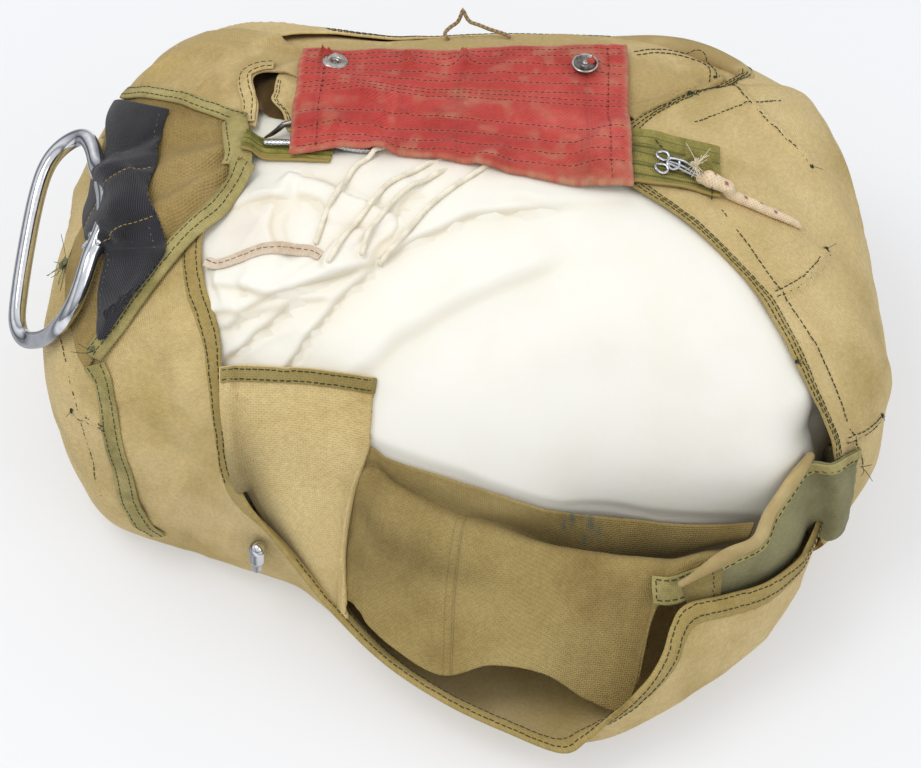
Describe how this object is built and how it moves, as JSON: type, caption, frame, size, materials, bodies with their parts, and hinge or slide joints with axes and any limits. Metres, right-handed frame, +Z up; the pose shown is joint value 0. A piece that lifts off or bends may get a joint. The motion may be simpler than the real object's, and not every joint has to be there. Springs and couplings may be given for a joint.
{
  "type": "packed chest reserve parachute",
  "caption": "Canvas parachute pack lying on its back with the front open over the folded cream canopy, a red quilted pin flap, chrome handle and stitched hems.",
  "frame": {"origin": "centre of the pack on the surface it lies on, at the underside of the base panel", "axes": "+Z up from the surface, +X to the right of the open front along the pack's length, +Y to the back, towards the red pin flap"},
  "size_m": [0.4329, 0.3664, 0.1958],
  "materials": {
    "pack_canvas": "coarse cotton canvas",
    "base_canvas": "coarse cotton canvas",
    "flap_canvas": "coarse cotton canvas",
    "side_flap_canvas": "coarse cotton canvas",
    "inner_flap_canvas": "olive cotton canvas, unbleached",
    "gusset_cloth": "fine grey-green cotton",
    "canopy_cloth": "cream silk, faint sheen",
    "canopy_tape": "pinkish cotton tape",
    "elastic_band": "black ribbed elastic",
    "top_binding": "olive cotton tape",
    "end_binding": "olive cotton tape",
    "rolled_binding": "olive cotton tape",
    "seam_tape": "olive cotton tape",
    "left_webbing": "olive cotton webbing",
    "right_webbing": "olive cotton webbing",
    "quilted_red_cloth": "faded quilted cotton",
    "bungee_cord": "cream braid with dark red dashes",
    "first_line": "cream silk braid",
    "second_line": "cream silk braid",
    "third_line": "cream silk braid",
    "fourth_line": "cream silk braid",
    "twine": "brown twine",
    "chrome_rod": "polished chrome",
    "chrome_cone": "polished chrome",
    "stud_socket": "worn chrome",
    "wire_eye": "bright wire",
    "wire_hook": "bright wire",
    "steel_cable": "braided bright steel",
    "steel_pin": "dark steel",
    "stud_post": "dark worn steel"
  },
  "bodies": {
    "root": {"pack_wall": "pack_canvas", "base_panel": "base_canvas", "back_flap": "flap_canvas", "left_flap": "side_flap_canvas", "inner_flap": "inner_flap_canvas", "corner_gusset": "gusset_cloth", "canopy": "canopy_cloth", "canopy_edge_tape": "canopy_tape", "elastic_pocket": "elastic_band", "left_flap_top_binding": "top_binding", "left_flap_end_binding": "end_binding", "left_flap_roll": "rolled_binding", "left_seam_tape": "seam_tape", "left_webbing": "left_webbing", "right_webbing": "right_webbing", "red_flap": "quilted_red_cloth", "opening_cord": "bungee_cord", "suspension_line_1": "first_line", "suspension_line_2": "second_line", "suspension_line_3": "third_line", "suspension_line_4": "fourth_line", "twine_loop": "twine", "ripcord_handle": "chrome_rod", "locking_cone": "chrome_cone", "press_stud_socket": "stud_socket", "wire_eye": "wire_eye", "cord_hook": "wire_hook", "ripcord_cable": "steel_cable", "ripcord_pin": "steel_pin", "press_stud_post": "stud_post"}
  },
  "joints": []
}
